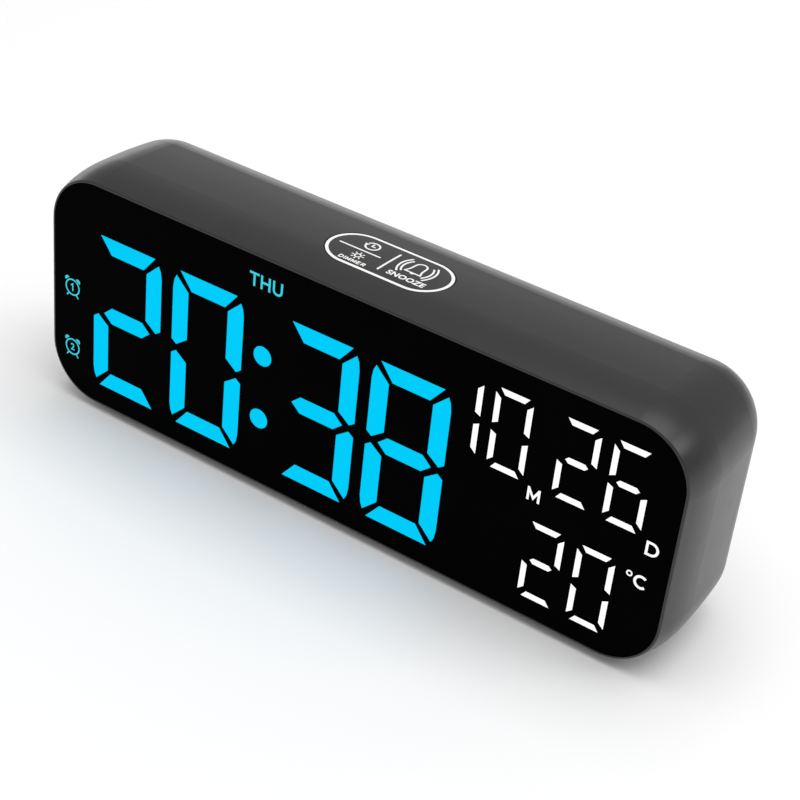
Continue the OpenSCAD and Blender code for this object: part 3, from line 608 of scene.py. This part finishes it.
def minus_sign(drawing, centre, half, pen):
    """A level bar; half is half its length."""
    u, v = centre
    drawing.stroke([(u - half, v), (u + half, v)], pen, round_ends=False)


def plus_sign(drawing, centre, half, pen):
    """A plus whose upright is two pieces that end at the bar, so that nothing overlaps."""
    u, v = centre
    minus_sign(drawing, centre, half, pen)
    drawing.stroke([(u, v - half), (u, v - pen / 2)], pen, round_ends=False)
    drawing.stroke([(u, v + pen / 2), (u, v + half)], pen, round_ends=False)


def back_print():
    """One plain symbol over each key and the supply voltage by the inlet."""
    ink = Drawing()
    symbol_v, inlet_v = 10.2, -9.9
    sign_half, sign_pen = 1.1, 0.32
    # a clock face over the key that sets the time
    u = middle_u("set_button")
    ink.stroke(circle((u, symbol_v), 1.15, 32), width=0.28, closed=True)
    ink.stroke([(u, symbol_v + 0.65), (u, symbol_v), (u + 0.5, symbol_v)], width=0.25)
    # a bell over the key that sets the alarm
    u = middle_u("alarm_button")
    bell_pen, rim_v, clapper_v = 0.26, symbol_v - 0.95, symbol_v - 1.35
    dome = arc((u, symbol_v + 0.2), 0.75, 180, 0, 12)
    ink.stroke([(u - 1.1, rim_v)] + dome + [(u + 1.1, rim_v)], bell_pen, closed=True)
    ink.stroke([(u - 0.25, clapper_v), (u + 0.25, clapper_v)], bell_pen)
    plus_sign(ink, (middle_u("up_button"), symbol_v), sign_half, sign_pen)
    minus_sign(ink, (middle_u("down_button"), symbol_v), sign_half, sign_pen)
    ink.text("°C/°F", (middle_u("unit_button"), symbol_v), height=1.7, weight=0.01)
    ink.text("DC 5V", (middle_u("usb_socket"), inlet_v), height=1.6, weight=0.01)
    ink.piece("cover_print", on_back, PRINT, "case", "cover_plastic")


# ---- raised marks in the battery bay ----

def bay_marks():
    """For each of the two cells, its outline and its plus and minus, moulded in the bay's floor;
    the marks are coloured lighter than the cover plastic, a painted highlight.
    """
    raised = Drawing()
    low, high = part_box("battery_tray")
    middle_x = (low.x + high.x) / 2
    row_share = 0.22  # a cell lies this share of the tray's height above or below the middle
    row_v = row_share * (high.z - low.z) / MM
    tray_surface = BVHTree.FromObject(NODES["battery_tray"], bpy.context.evaluated_depsgraph_get())
    ray_start = Vector((middle_x, high.y + RAY_START, COVER_Z))
    floor_y = tray_surface.ray_cast(ray_start, Vector((0, -1, 0)))[0].y
    centre_u = -middle_x / MM
    body_end, nub_end, body_v, nub_v = 17, 18.4, 3.2, 1.1
    sign_u, sign_half, pen = 12.5, 1.2, 0.4
    outline = [(-body_end, -body_v), (body_end, -body_v), (body_end, -nub_v), (nub_end, -nub_v),
               (nub_end, nub_v), (body_end, nub_v), (body_end, body_v), (-body_end, body_v)]
    # the two cells lie in opposite directions
    for row, plus_side in ((row_v, 1), (-row_v, -1)):
        raised.stroke([(centre_u + plus_side * u, row + v) for u, v in outline], pen, closed=True)
        raised.text("AAA", (centre_u, row), height=2.4, weight=0.01)
        minus_sign(raised, (centre_u - plus_side * sign_u, row), sign_half, pen)
        plus_sign(raised, (centre_u + plus_side * sign_u, row), sign_half, pen)

    def on_bay_floor(u, v, rise):
        height = rise * BAY_MARK_HEIGHT / PRINT_RISE
        return (-u * MM, floor_y + height * MM, COVER_Z + v * MM)

    # the marks carry the painted highlight colour, lighter than the floor under them
    raised.piece("bay_marks", on_bay_floor, BAY_MARK_PAINTED_HIGHLIGHT, "case", "cover_plastic")


display_legends()
key_print()
back_print()
bay_marks()


# ---- floor, light and camera ----

WORLD_STRENGTH = 0.62
FLOOR_HALF = 4.0
LIGHT_AIM = (0, 0, 0.03)


def floor_material():
    """Matt and pale, very slightly uneven."""
    cloud_mm = 300
    surface = Surface("pale_floor", (0.9, 0.9, 0.9), roughness=0.7, specular=0.2)
    surface.vary_colour(surface.noise(cloud_mm, detail=2), (0.88, 0.88, 0.885), share=0.5)
    return surface.material


def make_floor():
    """A large level square under the object."""
    half = FLOOR_HALF
    corners = [(-half, -half, 0), (half, -half, 0), (half, half, 0), (-half, half, 0)]
    mesh = bpy.data.meshes.new("floor")
    mesh.from_pydata(corners, [], [(0, 1, 2, 3)])
    mesh.materials.append(floor_material())
    floor = bpy.data.objects.new("floor", mesh)
    bpy.context.scene.collection.objects.link(floor)


def make_world():
    """Even white light from all round."""
    world = bpy.data.worlds.new("studio")
    world.use_nodes = True
    background = world.node_tree.nodes["Background"]
    background.inputs["Color"].default_value = (1, 1, 1, 1)
    background.inputs["Strength"].default_value = WORLD_STRENGTH
    bpy.context.scene.world = world


def softbox(name, place, size, watts):
    """A rectangular light that faces the object."""
    light = bpy.data.lights.new(name, "AREA")
    light.shape = "RECTANGLE"
    light.size, light.size_y = size
    light.energy = watts
    lamp = bpy.data.objects.new(name, light)
    lamp.location = place
    way = Vector(LIGHT_AIM) - Vector(place)
    lamp.rotation_euler = way.to_track_quat("-Z", "Y").to_euler()
    bpy.context.scene.collection.objects.link(lamp)


def make_camera(azimuth, elevation, roll, distance, aim, lens):
    """Azimuth 0 looks along +Y and 90 along -X; a positive roll turns the camera's right side up.

    Angles are in degrees, distance and aim in metres, and lens in millimetres."""
    a, e, r = (math.radians(x) for x in (azimuth, elevation, roll))
    back = Vector((math.sin(a) * math.cos(e), -math.cos(a) * math.cos(e), math.sin(e)))
    level_right = Vector((math.cos(a), math.sin(a), 0))
    level_up = back.cross(level_right)
    right = level_right * math.cos(r) + level_up * math.sin(r)
    up = back.cross(right)
    data = bpy.data.cameras.new("camera")
    data.lens = lens
    data.sensor_width = 36
    data.clip_start = 0.01
    camera = bpy.data.objects.new("camera", data)
    camera.matrix_world = Matrix.Translation(Vector(aim) + back * distance) @ Matrix(
        (right, up, back)).transposed().to_4x4()
    bpy.context.scene.collection.objects.link(camera)
    bpy.context.scene.camera = camera


make_floor()
make_world()
softbox("top_light", place=(0.2, 0.0, 1.4), size=(1.3, 1.3), watts=12.5)
softbox("back_light", place=(-0.75, 1.0, 0.14), size=(1.5, 0.3), watts=1.6)
softbox("right_light", place=(0.85, 0.35, 0.78), size=(0.35, 0.35), watts=1.35)
make_camera(azimuth=31.14, elevation=32.96, roll=6.42, distance=0.4133,
            aim=(0.0042, -0.0009, 0.0261), lens=84.96)
bpy.context.scene.view_settings.view_transform = "Standard"
